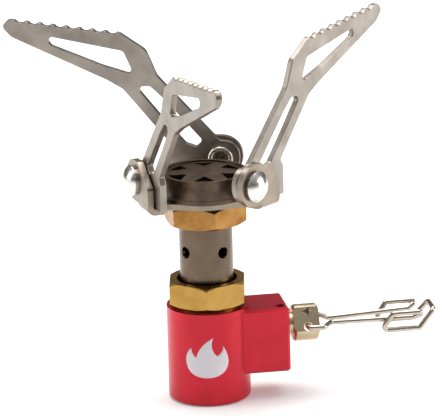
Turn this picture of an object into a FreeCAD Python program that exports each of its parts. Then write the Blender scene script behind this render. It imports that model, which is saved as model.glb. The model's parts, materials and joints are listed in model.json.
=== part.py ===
"""Folding canister stove: red valve body, brass-nutted mixing tube, burner and three pot arms.

Millimetres, +Z up. The origin is the centre of the valve body's bottom face, on the axis of the
canister thread. +X runs along the valve spindle towards the wire handle.
"""
import math
import os

import FreeCAD, Part

# ---- valve body -------------------------------------------------------------------------------
BODY_R = 9.5
BODY_TOP = 22.1
BODY_EDGE = 0.9
BLOCK_END_X = 18.1
BLOCK_HALF_Y = 6.2
BLOCK_BOTTOM = 6.1
BLOCK_TOP = 21.4
BLOCK_EDGE = 0.5
THREAD_R = 5.16           # minor radius of the 7/16-28 UNEF canister thread
THREAD_LENGTH = 5.5
RELIEF_R = 5.6            # undercut above the thread, up to the socket's ceiling
SOCKET_DEPTH = 8.5
BOSS_R = 4.0
BOSS_TOP = 25.6

# ---- what sits inside the valve body ----------------------------------------------------------
SEAL_RING_R = 4.0         # canister O-ring, centre of its section
SEAL_SECTION_R = 0.9
FILTER_R = 2.9
FILTER_BOTTOM = 9.4
FILTER_TOP = 11.0
PIN_R = 0.8
PIN_BOTTOM = 6.1
PIN_TOP = 12.6
INLET_X = 2.0
INLET_R = 0.6
OUTLET_X = -2.0
OUTLET_R = 0.8
SEAT_R = 0.5
SEAT_END_X = -2.6

# ---- valve spindle ----------------------------------------------------------------------------
SPINDLE_Z = 15.75
BORE_R = 2.5
BORE_START_X = 1.0
GLAND_R = 3.65
GLAND_START_X = 13.8
RUNNING_GAP = 0.05
NEEDLE_TIP_X = 1.3
NEEDLE_BASE_X = 3.6
NEEDLE_TIP_R = 0.3
NEEDLE_BASE_R = 1.2
STEM_R = 1.9
STEM_END_X = 6.0
O_RING_SECTION_R = 0.58
O_RING_GROOVE_X = (9.4, 11.8)
O_RING_GROOVE_WIDTH = 1.3
COLLAR_START_X = 14.1
COLLAR_END_X = 18.1
CATCH_GROOVE_X = (15.0, 17.4)
CATCH_GROOVE_R = 2.6
NECK_R = 2.5
HEAD_START_X = 19.5
HEAD_END_X = 25.5
HEAD_R = 4.3
HEAD_FLAT = 3.2           # distance of each milled flat from the spindle axis
HEAD_TURN_DEG = 30.0      # how far the flats are turned up from vertical with the valve shut
HEAD_EDGE = 0.5
CROSS_HOLE_X = 22.8
CROSS_HOLE_R = 1.08
CROSS_HOLE_OFFSET = 1.8   # of each cross hole from the spindle axis, along the flats
CATCH_PIN_X = 16.2
CATCH_PIN_Y = -3.8
CATCH_PIN_R = 1.05
CATCH_PIN_BOTTOM = 10.5
CATCH_PIN_TOP = 20.4

# ---- wire handle ------------------------------------------------------------------------------
WIRE_R = 0.62
WIRE_BEND = 0.95
STUB_Y = 2.9
CHEEK_Y = 4.98            # leg beside the spindle head
LEG_START_Y = 1.75        # the legs pinch in past the head and spread towards the grip
LEG_END_Y = 3.4
GRIP_Y = 4.6
GRIP_LOW_Y = 3.9
GRIP_END_Y = 3.3
CHEEK_END_X = 26.35
LEG_START_X = 28.45
LEG_END_X = 47.6
GRIP_FRONT_X = 50.2
GRIP_BACK_X = 42.6
GRIP_HEEL_X = 39.7
GRIP_FOOT_X = 48.9
GRIP_END_X = 52.4
LEG_RISE = 0.35           # heights of the leg's end and of the grip bars from the spindle axis
GRIP_LOW = -2.2
GRIP_HIGH = 1.85

# ---- jet, mixing tube and nuts ----------------------------------------------------------------
NUT_FLATS = 17.1
NUT_FACE_RIM = 0.15       # how far a nut's round end face reaches past its flats
NUT_CHAMFER_DEG = 30.0
JET_HOLDER_NECK_R = 7.2
JET_HOLDER_BOTTOM = 22.8
JET_HOLDER_TOP = 28.4
JET_HOLDER_TURN_DEG = 19.6
RECESS_R = 6.9
RECESS_BOTTOM = 25.2
SPIGOT_TOP = 31.0
CAVITY_R = 3.2
CAVITY_TOP = 26.7
SEAL_WASHER_TOP = 26.2
JET_R = 2.0
JET_BOTTOM = 27.2
JET_HEAD_R = 2.7
JET_HEAD_TOP = 32.6
JET_BORE_R = 0.8
JET_ORIFICE_R = 0.17
TUBE_R = 6.15
TUBE_INNER_R = 5.35
TUBE_TOP = 44.0
AIR_HOLE_R = 1.37
AIR_HOLE_Z = 35.5
AIR_HOLE_TURN_DEG = 30.5
AIR_HOLES = 4
BURNER_NUT_BOTTOM = 41.9
BURNER_NUT_TURN_DEG = 34.3

# ---- burner -----------------------------------------------------------------------------------
PLATE_BOTTOM = 46.75
PLATE_TOP = 48.15
STUB_R = 6.4
STUB_BOTTOM = 44.2
STUB_BORE_R = 5.4
CUP_R = 9.85
CUP_WALL = 0.7
CUP_FLOOR_TOP = 49.2
CUP_TOP = 53.8
CUP_LIP = 0.2
CAP_BOTTOM = 52.5
CAP_TOP = 53.3
CAP_CROWN = 0.5
FLAME_PORTS = 6
FLAME_PORT_TURN_DEG = 21.3
FLAME_PORT_APEX_R = 4.4
FLAME_PORT_BASE_R = 8.3
FLAME_PORT_HALF_DEG = 19.0

# ---- bracket and its three ears ---------------------------------------------------------------
ARMS = 3
ARM_TURN_DEG = 41.5       # direction in which the first arm reaches out, from +X
SHEET = PLATE_TOP - PLATE_BOTTOM
HUB_R = 9.0
PIVOT_U = -1.8            # u runs along an arm, n out through its face
PIVOT_Z = 53.1
ARM_INNER_N = 13.03
ARM_SHEET = 1.5
ARM_OUTER_N = ARM_INNER_N + ARM_SHEET
BEND_R = 0.4
EAR_INNER_N = 14.9
EAR_OUTER_N = EAR_INNER_N + SHEET
EAR_LOBE_R = 4.85
EAR_SHOULDER_U = 0.9
EAR_END_U = 7.1
EAR_END_Z = 53.0
TAB_START_U = 0.8          # the tab is narrower than the ear, whose lobe hangs free beside it
TAB_NECK_N = 11.0
TAB_NECK_END_U = 4.1
TAB_WIDE_N = 12.6
TAB_ROOT_N = 5.3
TAB_HUB_START = (0.0, 2.3)  # both lie inside the hub's disc
TAB_HUB_END = (-4.5, 7.74)

# ---- arms -------------------------------------------------------------------------------------
ARM_LOBE_R = 4.4
ARM_FOOT_GAP = 0.03       # between the arm's foot and the plate that it stops on
ARM_FOOT_END_U = 10.9
SERRATION_START_U = 22.9
SERRATION_PITCH = 3.06
SERRATIONS = 8
SERRATION_R = 1.5
SERRATION_LIFT = 0.95     # of each notch's centre above the arm's top edge
TOP_EDGE_START = (21.2, 82.5)
TOP_EDGE_END = (47.2, 85.3)

# ---- rivets -----------------------------------------------------------------------------------
RIVET_SHANK_R = 2.0
RIVET_GAP = 0.06
RIVET_NECK_R = 2.75
RIVET_HEAD_R = 3.55
RIVET_HEAD_N = 16.95       # underside of the head, which stands clear of the ear
RIVET_HEAD_EDGE = 0.25
RIVET_HEAD_HEIGHT = 1.75
RIVET_TAIL_R = 2.95
RIVET_TAIL_INNER_N = 12.2
RIVET_TAIL_BORE_R = 1.9
RIVET_TAIL_BORE_DEPTH = 1.1

Z_AXIS = FreeCAD.Vector(0, 0, 1)
X_AXIS = FreeCAD.Vector(1, 0, 0)
Y_AXIS = FreeCAD.Vector(0, 1, 0)
ORIGIN = FreeCAD.Vector(0, 0, 0)


def vec(x, y, z):
    return FreeCAD.Vector(x, y, z)


def rod(radius, bottom, top, x=0.0, y=0.0):
    """Upright cylinder."""
    return Part.makeCylinder(radius, top - bottom, vec(x, y, bottom), Z_AXIS)


def spindle_rod(radius, start, end):
    """Cylinder on the spindle axis."""
    return Part.makeCylinder(radius, end - start, vec(start, 0, SPINDLE_Z), X_AXIS)


def box(x0, x1, y0, y1, z0, z1):
    return Part.makeBox(x1 - x0, y1 - y0, z1 - z0, vec(x0, y0, z0))


def turned(shape, degrees):
    """Copy of a shape turned about the stove's axis."""
    copy = shape.copy()
    copy.rotate(ORIGIN, Z_AXIS, degrees)
    return copy


def revolve_z(outline):
    """Solid of revolution about Z from (radius, height) points."""
    points = [vec(r, 0, z) for r, z in outline]
    face = Part.Face(Part.makePolygon(points + points[:1]))
    return face.revolve(ORIGIN, Z_AXIS, 360)


def rounded_wire(corners, place):
    """Closed wire through (a, b, radius) corners, each rounded by an arc of its radius."""
    edges = []
    ends = []
    count = len(corners)
    for i, (a, b, radius) in enumerate(corners):
        corner = vec(a, b, 0)
        before = vec(corners[i - 1][0], corners[i - 1][1], 0) - corner
        after = vec(corners[(i + 1) % count][0], corners[(i + 1) % count][1], 0) - corner
        before.normalize()
        after.normalize()
        if radius <= 0:
            ends.append((corner, corner, corner))
            continue
        half = before.getAngle(after) / 2
        reach = radius / math.tan(half)
        inward = before + after
        inward.normalize()
        middle = corner + inward * (radius / math.sin(half) - radius)
        ends.append((corner + before * reach, middle, corner + after * reach))
    for i, (start, middle, end) in enumerate(ends):
        if start.distanceToPoint(end) > 1e-6:
            edges.append(Part.Arc(place(start), place(middle), place(end)).toShape())
        following = ends[(i + 1) % count][0]
        if end.distanceToPoint(following) > 1e-6:
            edges.append(Part.makeLine(place(end), place(following)))
    return Part.Wire(edges)


def arm_point(u, n, z):
    """A point beside the first arm, whose plane stands in the X-Z plane before it is turned."""
    return vec(u, -n, z)


def arm_plate(corners, inner, outer):
    """Plate with a rounded outline in the arm's own plane, between two distances from the axis."""
    wire = rounded_wire(corners, lambda p: arm_point(p.x, inner, p.y))
    return Part.Face(wire).extrude(vec(0, inner - outer, 0))


def arm_rod(radius, inner, outer, u=PIVOT_U, z=PIVOT_Z):
    """Cylinder across the arm's plane."""
    return Part.makeCylinder(radius, outer - inner, arm_point(u, inner, z), vec(0, -1, 0))


def hexagon(flats, bottom, top, turn):
    """Hexagonal bar with both ends chamfered as a nut is."""
    corner_r = flats / math.sqrt(3)
    points = []
    for k in range(6):
        angle = math.radians(turn + 60 * k)
        points.append(vec(corner_r * math.cos(angle), corner_r * math.sin(angle), bottom))
    bar = Part.Face(Part.makePolygon(points + points[:1])).extrude(vec(0, 0, top - bottom))
    rim = flats / 2 + NUT_FACE_RIM
    reach = corner_r + 1
    slope = math.tan(math.radians(NUT_CHAMFER_DEG))
    drop = (reach - rim) * slope
    envelope = revolve_z([(0, bottom), (rim, bottom), (reach, bottom + drop),
                          (reach, top - drop), (rim, top), (0, top)])
    return bar.common(envelope)


def head_frame():
    """Directions across the spindle head: out of the near flat, and up along it."""
    turn = math.radians(HEAD_TURN_DEG)
    outward = vec(0, -math.cos(turn), math.sin(turn))
    upward = vec(0, math.sin(turn), math.cos(turn))
    return outward, upward


def valve_body():
    barrel = rod(BODY_R, 0, BODY_TOP)
    block = box(0, BLOCK_END_X, -BLOCK_HALF_Y, BLOCK_HALF_Y, BLOCK_BOTTOM, BLOCK_TOP)
    rims = [e for e in barrel.Edges if isinstance(e.Curve, Part.Circle)]
    barrel = barrel.makeFillet(BODY_EDGE, [e for e in rims if e.CenterOfMass.z < 1])
    far_edges = [e for e in block.Edges if e.CenterOfMass.x > 1]
    block = block.makeChamfer(BLOCK_EDGE, far_edges)
    body = barrel.fuse(block).fuse(rod(BOSS_R, BODY_TOP, BOSS_TOP)).removeSplitter()
    cuts = [rod(THREAD_R, 0, THREAD_LENGTH), rod(RELIEF_R, THREAD_LENGTH, SOCKET_DEPTH)]
    cuts.append(seal_groove())
    cuts.append(rod(FILTER_R, SOCKET_DEPTH, FILTER_TOP))
    cuts.append(rod(PIN_R, FILTER_TOP, PIN_TOP))
    cuts.append(rod(INLET_R, FILTER_TOP, SPINDLE_Z, INLET_X))
    cuts.append(rod(OUTLET_R, SPINDLE_Z, BOSS_TOP, OUTLET_X))
    cuts.append(spindle_rod(SEAT_R, SEAT_END_X, BORE_START_X))
    cuts.append(spindle_rod(BORE_R, BORE_START_X, GLAND_START_X))
    cuts.append(spindle_rod(GLAND_R, GLAND_START_X, BLOCK_END_X))
    cuts.append(rod(CATCH_PIN_R, CATCH_PIN_BOTTOM, BLOCK_TOP, CATCH_PIN_X, CATCH_PIN_Y))
    for cut in cuts:
        body = body.cut(cut)
    return body


def seal_groove():
    outer = SEAL_RING_R + SEAL_SECTION_R
    inner = SEAL_RING_R - SEAL_SECTION_R
    depth = SOCKET_DEPTH + 1.5 * SEAL_SECTION_R
    return rod(outer, SOCKET_DEPTH, depth).cut(rod(inner, SOCKET_DEPTH, depth))


def canister_o_ring():
    height = SOCKET_DEPTH + 0.5 * SEAL_SECTION_R
    return Part.makeTorus(SEAL_RING_R, SEAL_SECTION_R - 0.01, vec(0, 0, height), Z_AXIS)


def inlet_filter():
    return rod(FILTER_R, FILTER_BOTTOM, FILTER_TOP).cut(rod(PIN_R, FILTER_BOTTOM, FILTER_TOP))


def depressor_pin():
    tip = 0.5
    return revolve_z([(0, PIN_BOTTOM), (PIN_R - tip, PIN_BOTTOM), (PIN_R, PIN_BOTTOM + tip),
                      (PIN_R, PIN_TOP), (0, PIN_TOP)])


def valve_spindle():
    shaft_r = BORE_R - RUNNING_GAP
    collar_r = GLAND_R - RUNNING_GAP
    tip_length = NEEDLE_BASE_X - NEEDLE_TIP_X
    needle = Part.makeCone(NEEDLE_TIP_R, NEEDLE_BASE_R, tip_length,
                           vec(NEEDLE_TIP_X, 0, SPINDLE_Z), X_AXIS)
    spindle = needle.fuse(spindle_rod(STEM_R, NEEDLE_BASE_X, STEM_END_X))
    spindle = spindle.fuse(spindle_rod(shaft_r, STEM_END_X, COLLAR_START_X))
    spindle = spindle.fuse(spindle_rod(collar_r, COLLAR_START_X, COLLAR_END_X))
    spindle = spindle.fuse(spindle_rod(NECK_R, COLLAR_END_X, HEAD_START_X))
    for start in O_RING_GROOVE_X:
        end = start + O_RING_GROOVE_WIDTH
        groove = spindle_rod(shaft_r + 1, start, end).cut(spindle_rod(o_ring_seat(), start, end))
        spindle = spindle.cut(groove)
    start, end = CATCH_GROOVE_X
    catch = spindle_rod(collar_r + 1, start, end).cut(spindle_rod(CATCH_GROOVE_R, start, end))
    return spindle.cut(catch).fuse(spindle_head()).removeSplitter()


def o_ring_seat():
    """Radius of the groove floor that carries a spindle O-ring."""
    return BORE_R - 2 * O_RING_SECTION_R - RUNNING_GAP


def spindle_head():
    head = spindle_rod(HEAD_R, HEAD_START_X, HEAD_END_X)
    head = head.makeChamfer(HEAD_EDGE, [e for e in head.Edges if isinstance(e.Curve, Part.Circle)])
    outward, upward = head_frame()
    size = 2 * HEAD_R
    slab = Part.makeBox(size, 2 * HEAD_FLAT, size, vec(HEAD_START_X - 1, -HEAD_FLAT, -HEAD_R))
    slab.rotate(ORIGIN, X_AXIS, -HEAD_TURN_DEG)
    slab.translate(vec(0, 0, SPINDLE_Z))
    head = head.common(slab)
    centre = vec(CROSS_HOLE_X, 0, SPINDLE_Z)
    for side in (-1, 1):
        start = centre + upward * (side * CROSS_HOLE_OFFSET) - outward * size
        head = head.cut(Part.makeCylinder(CROSS_HOLE_R, 2 * size, start, outward))
    return head


def spindle_o_rings():
    rings = []
    middle = (o_ring_seat() + BORE_R - RUNNING_GAP) / 2
    for start in O_RING_GROOVE_X:
        centre = vec(start + O_RING_GROOVE_WIDTH / 2, 0, SPINDLE_Z)
        rings.append(Part.makeTorus(middle, O_RING_SECTION_R - 0.005, centre, X_AXIS))
    return Part.makeCompound(rings)


def spindle_catch_pin():
    return rod(CATCH_PIN_R, CATCH_PIN_BOTTOM, CATCH_PIN_TOP, CATCH_PIN_X, CATCH_PIN_Y)


def handle_route():
    """Corners of half the wire, from the spindle head to the middle of the grip's end bar."""
    z = SPINDLE_Z
    return [
        vec(CROSS_HOLE_X, STUB_Y, z),
        vec(CROSS_HOLE_X, CHEEK_Y, z),
        vec(CHEEK_END_X, CHEEK_Y, z),
        vec(LEG_START_X, LEG_START_Y, z),
        vec(LEG_END_X, LEG_END_Y, z + LEG_RISE),
        vec(GRIP_FRONT_X, GRIP_Y, z + GRIP_HIGH),
        vec(GRIP_BACK_X, GRIP_Y, z + GRIP_HIGH),
        vec(GRIP_HEEL_X, GRIP_LOW_Y, z + GRIP_LOW),
        vec(GRIP_FOOT_X, GRIP_LOW_Y, z + GRIP_LOW),
        vec(GRIP_END_X, GRIP_END_Y, z + GRIP_HIGH),
        vec(GRIP_END_X, 0, z + GRIP_HIGH),
    ]


def bent_path(points, radius):
    """Open wire through the points with each corner bent to the radius where it fits."""
    edges = []
    start = points[0]
    for i in range(1, len(points) - 1):
        corner = points[i]
        back = points[i - 1] - corner
        ahead = points[i + 1] - corner
        room = min(back.Length, ahead.Length) * 0.49
        back.normalize()
        ahead.normalize()
        half = back.getAngle(ahead) / 2
        reach = min(radius / math.tan(half), room)
        bend = reach * math.tan(half)
        inward = back + ahead
        inward.normalize()
        middle = corner + inward * (bend / math.sin(half) - bend)
        entry = corner + back * reach
        leave = corner + ahead * reach
        edges.append(Part.makeLine(start, entry))
        edges.append(Part.Arc(entry, middle, leave).toShape())
        start = leave
    edges.append(Part.makeLine(start, points[-1]))
    return Part.Wire(edges)


def wire_handle():
    half = handle_route()
    mirrored = [vec(p.x, -p.y, p.z) for p in half[:-1]]
    points = half[:-1] + mirrored[::-1]
    path = bent_path(points, WIRE_BEND)
    section = Part.Wire(Part.makeCircle(WIRE_R, points[0], Y_AXIS))
    return path.makePipeShell([section], True, True)


def jet_holder():
    bar = hexagon(NUT_FLATS, JET_HOLDER_BOTTOM, JET_HOLDER_TOP, JET_HOLDER_TURN_DEG)
    bar = bar.cut(rod(RECESS_R, RECESS_BOTTOM, JET_HOLDER_TOP))
    bar = bar.fuse(rod(TUBE_INNER_R, RECESS_BOTTOM, SPIGOT_TOP))
    bar = bar.fuse(rod(JET_HOLDER_NECK_R, BODY_TOP, JET_HOLDER_BOTTOM)).removeSplitter()
    bar = bar.cut(rod(BOSS_R, BODY_TOP, SEAL_WASHER_TOP))
    bar = bar.cut(rod(CAVITY_R, SEAL_WASHER_TOP, CAVITY_TOP))
    return bar.cut(rod(JET_R, CAVITY_TOP, SPIGOT_TOP))


def jet_seal_washer():
    ring = rod(BOSS_R, BOSS_TOP, SEAL_WASHER_TOP)
    return ring.cut(rod(CAVITY_R, BOSS_TOP, SEAL_WASHER_TOP))


def gas_jet():
    jet = rod(JET_R, JET_BOTTOM, SPIGOT_TOP)
    head = hexagon(2 * JET_HEAD_R, SPIGOT_TOP, JET_HEAD_TOP, 0)
    jet = jet.fuse(head).removeSplitter()
    jet = jet.cut(rod(JET_BORE_R, JET_BOTTOM, SPIGOT_TOP))
    return jet.cut(rod(JET_ORIFICE_R, SPIGOT_TOP, JET_HEAD_TOP))


def mixing_tube():
    tube = rod(TUBE_R, RECESS_BOTTOM, TUBE_TOP).cut(rod(TUBE_INNER_R, RECESS_BOTTOM, TUBE_TOP))
    for k in range(AIR_HOLES):
        hole = Part.makeCylinder(AIR_HOLE_R, 2 * TUBE_R, vec(0, 0, AIR_HOLE_Z), X_AXIS)
        tube = tube.cut(turned(hole, AIR_HOLE_TURN_DEG + 360 / AIR_HOLES * k))
    return tube


def burner_nut():
    nut = hexagon(NUT_FLATS, BURNER_NUT_BOTTOM, PLATE_BOTTOM, BURNER_NUT_TURN_DEG)
    nut = nut.cut(rod(TUBE_R, BURNER_NUT_BOTTOM, TUBE_TOP))
    nut = nut.cut(rod(TUBE_INNER_R, TUBE_TOP, STUB_BOTTOM))
    return nut.cut(rod(STUB_R, STUB_BOTTOM, PLATE_BOTTOM))


def burner_cup():
    inner_r = CUP_R - CUP_WALL
    return revolve_z([
        (STUB_BORE_R, STUB_BOTTOM), (STUB_R, STUB_BOTTOM), (STUB_R, PLATE_TOP),
        (CUP_R + CUP_LIP, PLATE_TOP), (CUP_R + CUP_LIP, CUP_FLOOR_TOP), (CUP_R, CUP_FLOOR_TOP),
        (CUP_R, CUP_TOP), (inner_r, CUP_TOP), (inner_r, CUP_FLOOR_TOP), (STUB_BORE_R, CUP_FLOOR_TOP),
    ])


def flame_port():
    """Pointed opening in the cap: an apex towards the centre and a round base near the rim."""
    half = math.radians(FLAME_PORT_HALF_DEG)
    low = CAP_BOTTOM - 1
    apex = vec(FLAME_PORT_APEX_R, 0, low)
    left = vec(FLAME_PORT_BASE_R * math.cos(half), FLAME_PORT_BASE_R * math.sin(half), low)
    right = vec(left.x, -left.y, low)
    base = Part.Arc(left, vec(FLAME_PORT_BASE_R, 0, low), right).toShape()
    wire = Part.Wire([Part.makeLine(apex, left), base, Part.makeLine(right, apex)])
    return Part.Face(wire).extrude(vec(0, 0, CAP_TOP - CAP_BOTTOM + 3))


def burner_cap():
    rim = CUP_R - CUP_WALL
    crown_r = (rim ** 2 + CAP_CROWN ** 2) / (2 * CAP_CROWN)
    disc = rod(rim, CAP_BOTTOM, CAP_TOP + CAP_CROWN)
    dome = Part.makeSphere(crown_r, vec(0, 0, CAP_TOP + CAP_CROWN - crown_r))
    hollow = Part.makeSphere(crown_r, vec(0, 0, CAP_BOTTOM + CAP_CROWN - crown_r))
    cap = disc.common(dome).cut(hollow)
    for k in range(FLAME_PORTS):
        cap = cap.cut(turned(flame_port(), FLAME_PORT_TURN_DEG + 360 / FLAME_PORTS * k))
    return cap


def ear_outline():
    """Ear seen square on: a lobe around the rivet that slopes down to a square end."""
    top = PIVOT_Z + EAR_LOBE_R
    left = PIVOT_U - EAR_LOBE_R
    lobe_low = PIVOT_Z - EAR_LOBE_R
    floor = PLATE_BOTTOM - 1
    r = EAR_LOBE_R - 0.02
    return [(left, lobe_low, r), (left, top, r), (EAR_SHOULDER_U, top, 1.2),
            (EAR_END_U, EAR_END_Z, 0.9), (EAR_END_U, floor, 0), (TAB_START_U, floor, 0),
            (TAB_START_U, lobe_low, 0)]


def bracket_tab():
    """Flat tab from the plate's disc out to the ear's bend, narrowest just inside the arm."""
    bend_n = EAR_INNER_N - BEND_R
    outline = [
        TAB_HUB_START, (EAR_END_U, TAB_ROOT_N), (TAB_NECK_END_U, TAB_NECK_N),
        (EAR_END_U, TAB_WIDE_N), (EAR_END_U, bend_n), (TAB_START_U, bend_n),
        (TAB_START_U, TAB_NECK_N), TAB_HUB_END]
    points = [arm_point(u, n, PLATE_BOTTOM) for u, n in outline]
    return Part.Face(Part.makePolygon(points + points[:1])).extrude(vec(0, 0, SHEET))


def bracket_ear():
    """One tab of the plate, bent up into the ear that carries an arm's rivet."""
    outer_bend = BEND_R + SHEET
    bend_n = EAR_INNER_N - BEND_R
    bend_z = PLATE_TOP + BEND_R
    top = PIVOT_Z + EAR_LOBE_R + 1
    u = EAR_LOBE_R + abs(PIVOT_U) + 1

    def at(n, z):
        return arm_point(-u, n, z)

    def bend(radius, start, end):
        half = math.radians(45)
        middle = at(bend_n + radius * math.sin(half), bend_z - radius * math.cos(half))
        return Part.Arc(start, middle, end).toShape()

    outer = bend(outer_bend, at(bend_n, PLATE_BOTTOM), at(EAR_OUTER_N, bend_z))
    inner = bend(BEND_R, at(EAR_INNER_N, bend_z), at(bend_n, PLATE_TOP))
    profile = Part.Wire([
        outer,
        Part.makeLine(at(EAR_OUTER_N, bend_z), at(EAR_OUTER_N, top)),
        Part.makeLine(at(EAR_OUTER_N, top), at(EAR_INNER_N, top)),
        Part.makeLine(at(EAR_INNER_N, top), at(EAR_INNER_N, bend_z)), inner,
        Part.makeLine(at(bend_n, PLATE_TOP), at(bend_n, PLATE_BOTTOM)),
    ])
    folded = Part.Face(profile).extrude(vec(u + EAR_END_U + 1, 0, 0))
    ear = folded.common(arm_plate(ear_outline(), TAB_WIDE_N, EAR_OUTER_N + 1))
    ear = ear.fuse(bracket_tab())
    return ear.cut(arm_rod(RIVET_SHANK_R, EAR_INNER_N - 1, EAR_OUTER_N + 1))


def support_bracket():
    plate = rod(HUB_R, PLATE_BOTTOM, PLATE_TOP)
    for k in range(ARMS):
        plate = plate.fuse(turned(bracket_ear(), ARM_TURN_DEG + 360 / ARMS * k))
    return plate.cut(rod(STUB_R, PLATE_BOTTOM, PLATE_TOP)).removeSplitter()


def arm_outline():
    """Arm seen square on, as (u, z, corner radius), from the tip round by the hinge."""
    foot = PLATE_TOP + ARM_FOOT_GAP
    lobe_left = PIVOT_U - ARM_LOBE_R
    lobe_low = PIVOT_Z - ARM_LOBE_R
    r = ARM_LOBE_R - 0.02
    return [
        TOP_EDGE_END + (1.2,), TOP_EDGE_START + (1.8,), (15.2, 78.5, 3.0), (12.7, 72.4, 4.0),
        (-1.5, 57.25, 2.0), (lobe_left, 57.2, r * 0.8), (lobe_left, lobe_low, r), (2.6, lobe_low, 0),
        (3.2, foot, 0), (ARM_FOOT_END_U, foot, 0.3), (ARM_FOOT_END_U, 54.9, 0.4),
        (10.0, 56.4, 0.5), (20.7, 69.2, 3.5), (24.4, 71.3, 3.0), (46.6, 81.2, 2.0), (48.9, 83.7, 1.2),
    ]


def arm_window():
    """Long upper opening between the serrated bar and the lower strut."""
    return [(38.6, 81.6, 0.9), (37.4, 79.3, 1.0), (25.5, 74.7, 8.0), (18.0, 72.5, 0.9),
            (20.4, 78.2, 1.3)]


def arm_slot():
    """Opening that splits the lower strut in two."""
    return [(17.7, 69.8, 0.9), (12.3, 63.2, 4.0), (6.4, 56.5, 1.0), (3.6, 55.6, 0.9),
            (2.5, 57.4, 0.8), (11.3, 67.1, 4.0), (14.4, 70.0, 1.2)]


def support_arm(k):
    plate = arm_plate(arm_outline(), ARM_INNER_N, ARM_OUTER_N)
    for opening in (arm_window(), arm_slot()):
        plate = plate.cut(arm_plate(opening, ARM_INNER_N - 1, ARM_OUTER_N + 1))
    rise = (TOP_EDGE_END[1] - TOP_EDGE_START[1]) / (TOP_EDGE_END[0] - TOP_EDGE_START[0])
    for i in range(SERRATIONS):
        u = SERRATION_START_U + SERRATION_PITCH * i
        z = TOP_EDGE_START[1] + rise * (u - TOP_EDGE_START[0]) + SERRATION_LIFT
        plate = plate.cut(arm_rod(SERRATION_R, ARM_INNER_N - 1, ARM_OUTER_N + 1, u, z))
    plate = plate.cut(arm_rod(RIVET_SHANK_R + RIVET_GAP, ARM_INNER_N - 1, ARM_OUTER_N + 1))
    return turned(plate, ARM_TURN_DEG + 360 / ARMS * k)


def arm_rivet(k):
    head_base = RIVET_HEAD_N + RIVET_HEAD_EDGE
    shank = arm_rod(RIVET_SHANK_R, RIVET_TAIL_INNER_N, EAR_OUTER_N)
    tail = arm_rod(RIVET_TAIL_R, RIVET_TAIL_INNER_N, ARM_INNER_N - RIVET_GAP)
    neck = arm_rod(RIVET_NECK_R, EAR_OUTER_N, RIVET_HEAD_N)
    rim = arm_rod(RIVET_HEAD_R, RIVET_HEAD_N, head_base)
    dome_r = (RIVET_HEAD_R ** 2 + RIVET_HEAD_HEIGHT ** 2) / (2 * RIVET_HEAD_HEIGHT)
    dome_n = head_base + RIVET_HEAD_HEIGHT - dome_r
    ball = Part.makeSphere(dome_r, arm_point(PIVOT_U, dome_n, PIVOT_Z))
    head = ball.common(arm_rod(RIVET_HEAD_R, head_base, head_base + RIVET_HEAD_HEIGHT + 1))
    rivet = shank.fuse([tail, neck, rim, head]).removeSplitter()
    bore_end = RIVET_TAIL_INNER_N + RIVET_TAIL_BORE_DEPTH
    rivet = rivet.cut(arm_rod(RIVET_TAIL_BORE_R, RIVET_TAIL_INNER_N, bore_end))
    return turned(rivet, ARM_TURN_DEG + 360 / ARMS * k)


def main():
    os.makedirs("parts", exist_ok=True)
    shapes = {
        "valve_body": valve_body(),
        "canister_o_ring": canister_o_ring(),
        "inlet_filter": inlet_filter(),
        "depressor_pin": depressor_pin(),
        "valve_spindle": valve_spindle(),
        "spindle_o_rings": spindle_o_rings(),
        "spindle_catch_pin": spindle_catch_pin(),
        "wire_handle": wire_handle(),
        "jet_holder": jet_holder(),
        "jet_seal_washer": jet_seal_washer(),
        "gas_jet": gas_jet(),
        "mixing_tube": mixing_tube(),
        "burner_nut": burner_nut(),
        "burner_cup": burner_cup(),
        "burner_cap": burner_cap(),
        "support_bracket": support_bracket(),
    }
    for k in range(ARMS):
        shapes["support_arm_%d" % (k + 1)] = support_arm(k)
        shapes["arm_rivet_%d" % (k + 1)] = arm_rivet(k)
    for name, shape in shapes.items():
        shape.exportStep("parts/%s.step" % name)


main()
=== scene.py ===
import json
import math

import bmesh
import bpy
from mathutils import Matrix, Vector


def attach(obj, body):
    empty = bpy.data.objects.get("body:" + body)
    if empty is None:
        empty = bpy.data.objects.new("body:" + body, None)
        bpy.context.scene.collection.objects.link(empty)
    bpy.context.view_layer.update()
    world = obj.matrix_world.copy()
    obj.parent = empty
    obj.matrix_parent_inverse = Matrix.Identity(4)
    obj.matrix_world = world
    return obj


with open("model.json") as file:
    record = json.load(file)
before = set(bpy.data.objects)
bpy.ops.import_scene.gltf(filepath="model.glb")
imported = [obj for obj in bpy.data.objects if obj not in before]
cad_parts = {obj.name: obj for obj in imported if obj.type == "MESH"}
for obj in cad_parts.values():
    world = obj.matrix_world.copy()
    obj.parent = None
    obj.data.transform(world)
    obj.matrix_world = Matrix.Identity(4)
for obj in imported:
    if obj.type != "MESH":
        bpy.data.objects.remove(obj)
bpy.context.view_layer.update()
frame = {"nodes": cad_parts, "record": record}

MM = 0.001
BODY_R = 9.5 * MM

# the part of a noise's range that most of it lies in
NOISE_LOW = 0.3
NOISE_HIGH = 0.7

# the printed mark
MARK_AZIMUTH = math.radians(-101.5)
MARK_HEIGHT = 11.6 * MM
MARK_PROUD = 0.03 * MM
MARK_SUNK = 0.05 * MM
MARK_LONGEST_EDGE = 0.7        # in millimetres, so that the mark follows the barrel

# the canister thread, 28 turns to the inch
THREAD_ROOT_R = 5.17 * MM
THREAD_CREST_R = 4.93 * MM
THREAD_START = 0.35 * MM
THREAD_END = 5.25 * MM
THREAD_PITCH = 0.907 * MM
THREAD_WIDTH = 0.62 * MM
THREAD_STEPS = 40              # to a turn
THREAD_RUN_OUT = 12            # steps over which each end of the thread fades

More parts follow.
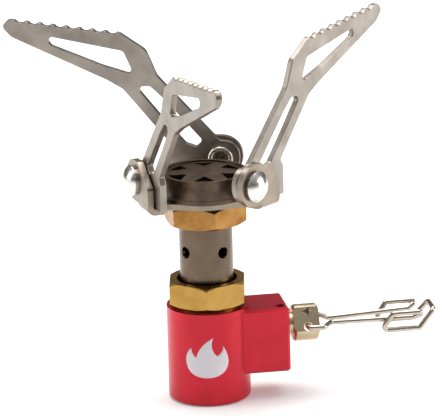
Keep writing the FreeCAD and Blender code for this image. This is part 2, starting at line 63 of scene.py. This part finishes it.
# the rolled lips on the rivets' tails
LIP_OFFSET = 1.34 * MM         # from an arm's middle to its rivet's lip
LIP_R = 2.42 * MM
LIP_HALF_WIDTH = 0.54 * MM
LIP_HALF_DEPTH = 0.46 * MM
LIP_AROUND = 56
LIP_SECTION = 16

# softened edges, in millimetres
ARM_BEVEL = 0.20
BEVELS = {
    "valve_body": 0.18, "valve_spindle": 0.12, "jet_holder": 0.15, "burner_nut": 0.15,
    "support_bracket": 0.16, "burner_cup": 0.10, "burner_cap": 0.06, "mixing_tube": 0.08,
}
BEVEL_ANGLE = math.radians(32)
WELD_DISTANCE = 0.002 * MM

# the photograph's view: nearly level, from a distance
VIEW_TURN = math.radians(8.66)
VIEW_ELEVATION = math.radians(16.37)
VIEW_ROLL = math.radians(-1.60)
VIEW_DISTANCE = 0.9327
VIEW_TARGET = Vector((0, 0, 0.04467))


# ---------------------------------------------------------------- materials

def new_material(name):
    material = bpy.data.materials.new(name)
    material.use_nodes = True
    return material, material.node_tree.nodes, material.node_tree.links


def noise(nodes, links, scale, detail, roughness, stretch=(1, 1, 1)):
    """Noise in object space, finer along the axes with the larger stretch."""
    place = nodes.new("ShaderNodeTexCoord")
    mapping = nodes.new("ShaderNodeMapping")
    mapping.inputs["Scale"].default_value = stretch
    texture = nodes.new("ShaderNodeTexNoise")
    texture.inputs["Scale"].default_value = scale
    texture.inputs["Detail"].default_value = detail
    texture.inputs["Roughness"].default_value = roughness
    links.new(place.outputs["Object"], mapping.inputs["Vector"])
    links.new(mapping.outputs["Vector"], texture.inputs["Vector"])
    return texture.outputs["Fac"]


def ramp(nodes, links, source, low, high):
    """Colour between low and high that follows the middle of the source's range."""
    stops = nodes.new("ShaderNodeValToRGB")
    stops.color_ramp.elements[0].position = NOISE_LOW
    stops.color_ramp.elements[1].position = NOISE_HIGH
    stops.color_ramp.elements[0].color = low + (1,)
    stops.color_ramp.elements[1].color = high + (1,)
    links.new(source, stops.inputs["Fac"])
    return stops.outputs["Color"]


def spread(nodes, links, source, low, high):
    """Number between low and high that follows the middle of the source's range."""
    change = nodes.new("ShaderNodeMapRange")
    change.inputs["From Min"].default_value = NOISE_LOW
    change.inputs["From Max"].default_value = NOISE_HIGH
    change.inputs["To Min"].default_value = low
    change.inputs["To Max"].default_value = high
    links.new(source, change.inputs["Value"])
    return change.outputs["Result"]


def surface(name, low, high, rough, metallic=1.0, grain=1500.0, bump=0.15, patch=180.0,
            grain_stretch=(1, 1, 1)):
    """Surface whose colour varies in soft patches, with a fine grain in its gloss and relief."""
    material, nodes, links = new_material(name)
    shader = nodes["Principled BSDF"]
    shader.inputs["Metallic"].default_value = metallic
    patches = noise(nodes, links, patch, 3.0, 0.5)
    links.new(ramp(nodes, links, patches, low, high), shader.inputs["Base Color"])
    fine = noise(nodes, links, grain, 5.0, 0.6, grain_stretch)
    links.new(spread(nodes, links, fine, *rough), shader.inputs["Roughness"])
    relief = nodes.new("ShaderNodeBump")
    relief.inputs["Strength"].default_value = bump
    relief.inputs["Distance"].default_value = 0.05 * MM
    links.new(fine, relief.inputs["Height"])
    links.new(relief.outputs["Normal"], shader.inputs["Normal"])
    return material


def make_materials():
    looks = {
        "body_red": surface(
            "red_anodised", (0.47, 0.005, 0.018), (0.56, 0.008, 0.026), (0.34, 0.42),
            metallic=0.75, grain=5000, bump=0.10),
        "spindle_brass": surface(
            "dull_brass", (0.52, 0.42, 0.27), (0.64, 0.53, 0.36), (0.26, 0.40),
            grain=3000, grain_stretch=(4, 1, 1)),
        "handle_wire": surface(
            "bright_wire", (0.47, 0.41, 0.34), (0.58, 0.52, 0.45), (0.16, 0.28),
            grain=3000, bump=0.05),
        "mark_white": surface(
            "mark_white", (0.66, 0.62, 0.66), (0.76, 0.72, 0.76), (0.45, 0.6),
            metallic=0.0, grain=6000, bump=0.1),
        "seal_rubber": surface(
            "seal_rubber", (0.012, 0.012, 0.012), (0.02, 0.02, 0.02), (0.6, 0.75),
            metallic=0.0),
        "filter_bronze": surface(
            "sintered_bronze", (0.30, 0.19, 0.08), (0.42, 0.28, 0.14), (0.5, 0.7),
            grain=9000, bump=0.6),
        "pin_steel": surface(
            "ground_steel", (0.38, 0.37, 0.36), (0.50, 0.49, 0.48), (0.25, 0.4)),
        "holder_brass": surface(
            "bright_brass", (0.37, 0.205, 0.045), (0.50, 0.30, 0.085), (0.24, 0.38),
            grain=2500, bump=0.12),
        "nut_brass": surface(
            "heat_toned_brass", (0.27, 0.110, 0.024), (0.43, 0.235, 0.075), (0.24, 0.40),
            grain=2500, bump=0.12, patch=260),
        "tube_steel": surface(
            "tube_steel", (0.120, 0.085, 0.059), (0.160, 0.117, 0.083), (0.22, 0.31),
            grain=3500, bump=0.10),
        "bracket_steel": surface(
            "tumbled_sheet", (0.27, 0.225, 0.18), (0.37, 0.31, 0.25), (0.30, 0.44),
            grain=4200, bump=0.22),
        "arm_steel": surface(
            "tumbled_arm", (0.27, 0.238, 0.205), (0.40, 0.357, 0.315), (0.28, 0.44),
            grain=4200, bump=0.25),
        "rivet_steel": surface(
            "polished_rivet", (0.72, 0.69, 0.65), (0.84, 0.81, 0.77), (0.20, 0.30),
            grain=1800, bump=0.04),
        "burner_steel": surface(
            "heat_dark_steel", (0.078, 0.054, 0.038), (0.145, 0.104, 0.074), (0.34, 0.50),
            grain=3500, bump=0.2, patch=320),
    }
    anodised = looks["body_red"].node_tree.nodes["Principled BSDF"]
    anodised.inputs["Coat Weight"].default_value = 0.30
    anodised.inputs["Coat Roughness"].default_value = 0.10
    return looks


def paint(obj, material):
    obj.data.materials.clear()
    obj.data.materials.append(material)


# ---------------------------------------------------------------- CAD nodes that stay

def soften(obj, width):
    """Rounded edges of a width in millimetres on a CAD node."""
    weld = obj.modifiers.new("weld", "WELD")
    weld.merge_threshold = WELD_DISTANCE
    flat = obj.modifiers.new("flat", "DECIMATE")
    flat.decimate_type = "DISSOLVE"
    flat.angle_limit = math.radians(1)
    bevel = obj.modifiers.new("bevel", "BEVEL")
    bevel.width = width * MM
    bevel.segments = 3
    bevel.limit_method = "ANGLE"
    bevel.angle_limit = BEVEL_ANGLE
    bevel.miter_outer = "MITER_ARC"
    for polygon in obj.data.polygons:
        polygon.use_smooth = True
    normals = obj.modifiers.new("normals", "WEIGHTED_NORMAL")
    normals.keep_sharp = False
    normals.weight = 80


# ---------------------------------------------------------------- pieces made here

def new_piece(name, mesh, material, body):
    piece = bpy.data.objects.new(name, mesh)
    bpy.context.scene.collection.objects.link(piece)
    mesh.materials.append(material)
    for polygon in mesh.polygons:
        polygon.use_smooth = True
    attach(piece, body)
    return piece


def mesh_from(name, bm):
    bmesh.ops.recalc_face_normals(bm, faces=bm.faces[:])
    mesh = bpy.data.meshes.new(name)
    bm.to_mesh(mesh)
    bm.free()
    return mesh


def bezier_loop(knots, steps=10):
    """Closed outline in millimetres through knots of (x, y, arriving handle, leaving handle)."""
    points = []
    for i, (x, y, _, leaving) in enumerate(knots):
        x2, y2, arriving, _ = knots[(i + 1) % len(knots)]
        start, end = Vector((x, y)), Vector((x2, y2))
        first, second = start + Vector(leaving), end + Vector(arriving)
        for k in range(steps):
            t = k / steps
            s = 1 - t
            points.append(start * s ** 3 + first * (3 * s * s * t)
                          + second * (3 * s * t * t) + end * t ** 3)
    return points


def wrapped_mark(name, outline, material):
    """Thin printed shape laid round the barrel."""
    bm = bmesh.new()
    loop = [bm.verts.new((p.x, p.y, 0)) for p in outline]
    rim = [bm.edges.new((loop[i - 1], loop[i])) for i in range(len(loop))]
    bmesh.ops.triangle_fill(bm, use_beauty=True, use_dissolve=False, edges=rim)
    for _ in range(3):
        long = [e for e in bm.edges if e.calc_length() > MARK_LONGEST_EDGE]
        if long:
            bmesh.ops.subdivide_edges(bm, edges=long, cuts=1)
            bmesh.ops.triangulate(bm, faces=[f for f in bm.faces if len(f.verts) > 3])
    under = bmesh.ops.duplicate(bm, geom=bm.faces[:] + bm.edges[:] + bm.verts[:])
    lower = [g for g in under["geom"] if isinstance(g, bmesh.types.BMVert)]
    for vert in lower:
        vert.co.z = -1
    walls = [e for e in bm.edges if e.is_boundary]
    bmesh.ops.bridge_loops(bm, edges=walls)
    for vert in bm.verts:
        radius = BODY_R + MARK_PROUD if vert.co.z > -0.5 else BODY_R - MARK_SUNK
        angle = MARK_AZIMUTH + vert.co.x * MM / BODY_R
        height = MARK_HEIGHT + vert.co.y * MM
        vert.co = Vector((radius * math.cos(angle), radius * math.sin(angle), height))
    return new_piece(name, mesh_from(name, bm), material, "stove_body")


def add_mark(material):
    """Plain campfire flame with three tongues."""
    flame = [
        (0.0, -4.6, (2.8, 0.0), (-2.8, 0.0)),
        (-5.0, -1.3, (0.3, -2.0), (-0.3, 1.6)),
        (-3.6, 2.6, (-1.2, -1.0), (-0.2, -1.0)),
        (-2.5, 0.3, (-0.7, 0.5), (0.6, 2.2)),
        (1.5, 5.0, (-2.0, -1.0), (-0.9, -1.8)),
        (2.3, 0.6, (-1.0, 0.8), (0.9, 0.5)),
        (3.8, 2.9, (0.1, -1.1), (0.7, -1.2)),
        (5.0, -1.3, (0.2, 1.4), (-0.3, -2.0)),
    ]
    wrapped_mark("mark_flame", bezier_loop(flame), material)


def add_thread(material):
    """Turns of the canister thread: one helical ridge that stands in from the socket's wall."""
    bm = bmesh.new()
    count = int((THREAD_END - THREAD_START) / THREAD_PITCH * THREAD_STEPS)
    rows = []
    for k in range(count + 1):
        angle = 2 * math.pi * k / THREAD_STEPS
        middle = THREAD_START + THREAD_PITCH * k / THREAD_STEPS
        fade = min(1.0, k / THREAD_RUN_OUT, (count - k) / THREAD_RUN_OUT)
        crest = THREAD_ROOT_R - (THREAD_ROOT_R - THREAD_CREST_R) * max(fade, 0.02)
        section = ((THREAD_ROOT_R, middle - THREAD_WIDTH / 2), (crest, middle),
                   (THREAD_ROOT_R, middle + THREAD_WIDTH / 2))
        rows.append([bm.verts.new((r * math.cos(angle), r * math.sin(angle), z))
                     for r, z in section])
    for low, high in zip(rows, rows[1:]):
        for i in range(3):
            j = (i + 1) % 3
            bm.faces.new((low[i], low[j], high[j], high[i]))
    bm.faces.new(rows[0])
    bm.faces.new(rows[-1][::-1])
    new_piece("thread_turns", mesh_from("thread_turns", bm), material, "stove_body")


def rolled_lip(name, centre, axis, material):
    """Rolled end of a tubular rivet: a full round lip about the rivet's axis."""
    across = axis.orthogonal().normalized()
    beside = axis.cross(across)
    bm = bmesh.new()
    rings = []
    for i in range(LIP_AROUND):
        turn = 2 * math.pi * i / LIP_AROUND
        out = across * math.cos(turn) + beside * math.sin(turn)
        ring = []
        for j in range(LIP_SECTION):
            roll = 2 * math.pi * j / LIP_SECTION
            place = centre + out * (LIP_R + LIP_HALF_WIDTH * math.cos(roll))
            ring.append(bm.verts.new(place + axis * (LIP_HALF_DEPTH * math.sin(roll))))
        rings.append(ring)
    for i, here in enumerate(rings):
        there = rings[(i + 1) % LIP_AROUND]
        for j in range(LIP_SECTION):
            k = (j + 1) % LIP_SECTION
            bm.faces.new((here[j], there[j], there[k], here[k]))
    new_piece(name, mesh_from(name, bm), material, "stove_body")


def add_rivet_lips(material):
    """A lip on the hollow tail of each arm's rivet, on the arm's inner side."""
    for joint in frame["record"]["behaviour"]["joints"]:
        if joint["name"].startswith("arm_fold"):
            axis = Vector(joint["axis"])
            centre = Vector(joint["pos_m"]) - axis * LIP_OFFSET
            rolled_lip("rivet_lip_" + joint["name"][-1], centre, axis, material)


# ---------------------------------------------------------------- camera, floor and lights

def add_camera():
    """The photograph's viewing angle, with the spindle to the right."""
    vertical = Vector((0, 0, 1))
    away = Vector((math.sin(VIEW_TURN), math.cos(VIEW_TURN), 0))
    right = Vector((math.cos(VIEW_TURN), -math.sin(VIEW_TURN), 0))
    look = away * math.cos(VIEW_ELEVATION) - vertical * math.sin(VIEW_ELEVATION)
    up = away * math.sin(VIEW_ELEVATION) + vertical * math.cos(VIEW_ELEVATION)
    camera = bpy.data.cameras.new("camera")
    camera.sensor_fit = "HORIZONTAL"
    camera.sensor_width = 36
    camera.lens = 332.3
    camera.shift_x = 0.0361
    camera.shift_y = 0.0018
    camera.clip_start = 0.05
    camera.clip_end = 20
    view = bpy.data.objects.new("camera", camera)
    turned_right = right * math.cos(VIEW_ROLL) + up * math.sin(VIEW_ROLL)
    turned_up = up * math.cos(VIEW_ROLL) - right * math.sin(VIEW_ROLL)
    rotation = Matrix((turned_right, turned_up, -look)).transposed().to_4x4()
    view.matrix_world = Matrix.Translation(VIEW_TARGET - look * VIEW_DISTANCE) @ rotation
    bpy.context.scene.collection.objects.link(view)
    bpy.context.scene.camera = view


def add_area(name, place, aim, width, height, power):
    """Soft box of a size in metres and a power in watts."""
    light = bpy.data.lights.new(name, "AREA")
    light.shape = "RECTANGLE"
    light.size = width
    light.size_y = height
    light.energy = power
    lamp = bpy.data.objects.new(name, light)
    lamp.location = place
    lamp.rotation_euler = (Vector(aim) - Vector(place)).to_track_quat("-Z", "Y").to_euler()
    bpy.context.scene.collection.objects.link(lamp)


def add_world():
    """Soft studio surroundings: bright overhead, dim towards the horizon."""
    world = bpy.data.worlds.new("studio")
    world.use_nodes = True
    nodes = world.node_tree.nodes
    links = world.node_tree.links
    place = nodes.new("ShaderNodeTexCoord")
    parts = nodes.new("ShaderNodeSeparateXYZ")
    links.new(place.outputs["Generated"], parts.inputs["Vector"])
    stops = nodes.new("ShaderNodeValToRGB")
    elements = stops.color_ramp.elements
    elements[0].position = 0.0
    elements[0].color = (0.14, 0.135, 0.13, 1)
    elements[1].position = 0.9
    elements[1].color = (1, 1, 1, 1)
    middle = elements.new(0.35)
    middle.color = (0.34, 0.33, 0.32, 1)
    links.new(parts.outputs["Z"], stops.inputs["Fac"])
    background = nodes["Background"]
    links.new(stops.outputs["Color"], background.inputs["Color"])
    background.inputs["Strength"].default_value = 0.5
    bpy.context.scene.world = world


def add_floor():
    """Wide white floor that glows a little, so that it stays pale under soft light."""
    mesh = bpy.data.meshes.new("floor")
    half = 3.0
    mesh.from_pydata([(-half, -half, 0), (half, -half, 0), (half, half, 0), (-half, half, 0)],
                     [], [(0, 1, 2, 3)])
    ground = bpy.data.objects.new("floor", mesh)
    ground.location.z = -0.05 * MM
    bpy.context.scene.collection.objects.link(ground)
    material, nodes, _ = new_material("floor_white")
    shader = nodes["Principled BSDF"]
    shader.inputs["Base Color"].default_value = (0.95, 0.95, 0.95, 1)
    shader.inputs["Roughness"].default_value = 0.9
    shader.inputs["Specular IOR Level"].default_value = 0.0
    shader.inputs["Emission Color"].default_value = (1, 1, 1, 1)
    shader.inputs["Emission Strength"].default_value = 0.12
    mesh.materials.append(material)


def add_studio():
    bpy.context.scene.view_settings.view_transform = "Standard"
    add_world()
    add_floor()
    add_area("right", (0.65, -0.18, 0.22), (0, 0, 0.05), 0.40, 0.40, 2.2)
    add_area("left", (-0.62, 0.02, 0.28), (0, 0, 0.05), 0.30, 0.45, 1.0)
    add_area("top", (0.0, 0.18, 0.66), (0, 0.08, 0), 0.70, 0.60, 5.4)


# ---------------------------------------------------------------- the stove

def main():
    looks = make_materials()
    slots = {part["node"]: part["material_slot"] for part in frame["record"]["subparts"]}
    for node, obj in frame["nodes"].items():
        paint(obj, looks[slots[node]])
        if node.startswith("support_arm"):
            soften(obj, ARM_BEVEL)
        elif node in BEVELS:
            soften(obj, BEVELS[node])
    add_mark(looks["mark_white"])
    add_thread(looks["body_red"])
    add_rivet_lips(looks["rivet_steel"])
    add_camera()
    add_studio()


main()
